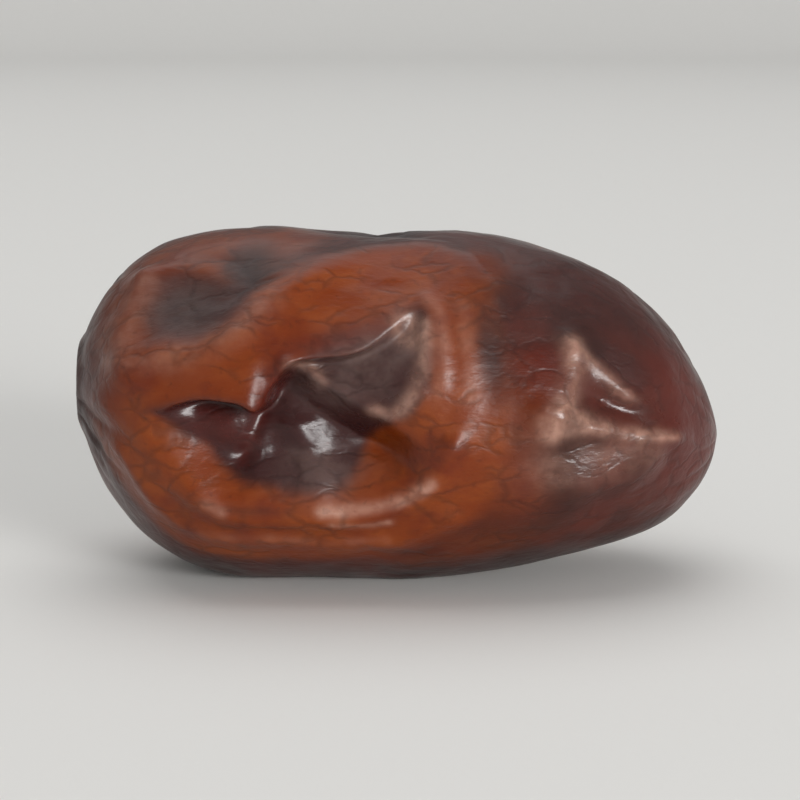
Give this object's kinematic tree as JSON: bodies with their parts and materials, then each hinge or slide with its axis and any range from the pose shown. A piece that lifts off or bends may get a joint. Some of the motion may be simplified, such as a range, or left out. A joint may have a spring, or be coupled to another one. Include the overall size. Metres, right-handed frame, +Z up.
{
  "type": "date fruit",
  "caption": "Semi-dried date lying on its side: a wrinkled barrel with a blunt stem end, a tapered tip and a sunken, amber-rimmed pit in its front.",
  "frame": {"origin": "on the surface that the date lies on, under the middle of its bounding box", "axes": "+X along the fruit towards its tapered tip, +Z up, -Y towards the side with the sunken pit"},
  "size_m": [0.0444, 0.0238, 0.0241],
  "materials": {
    "date_skin": "glossy wrinkled fruit skin, mahogany brown with amber and grey-purple patches"
  },
  "bodies": {
    "root": {"date_fruit": "date_skin"}
  },
  "joints": []
}
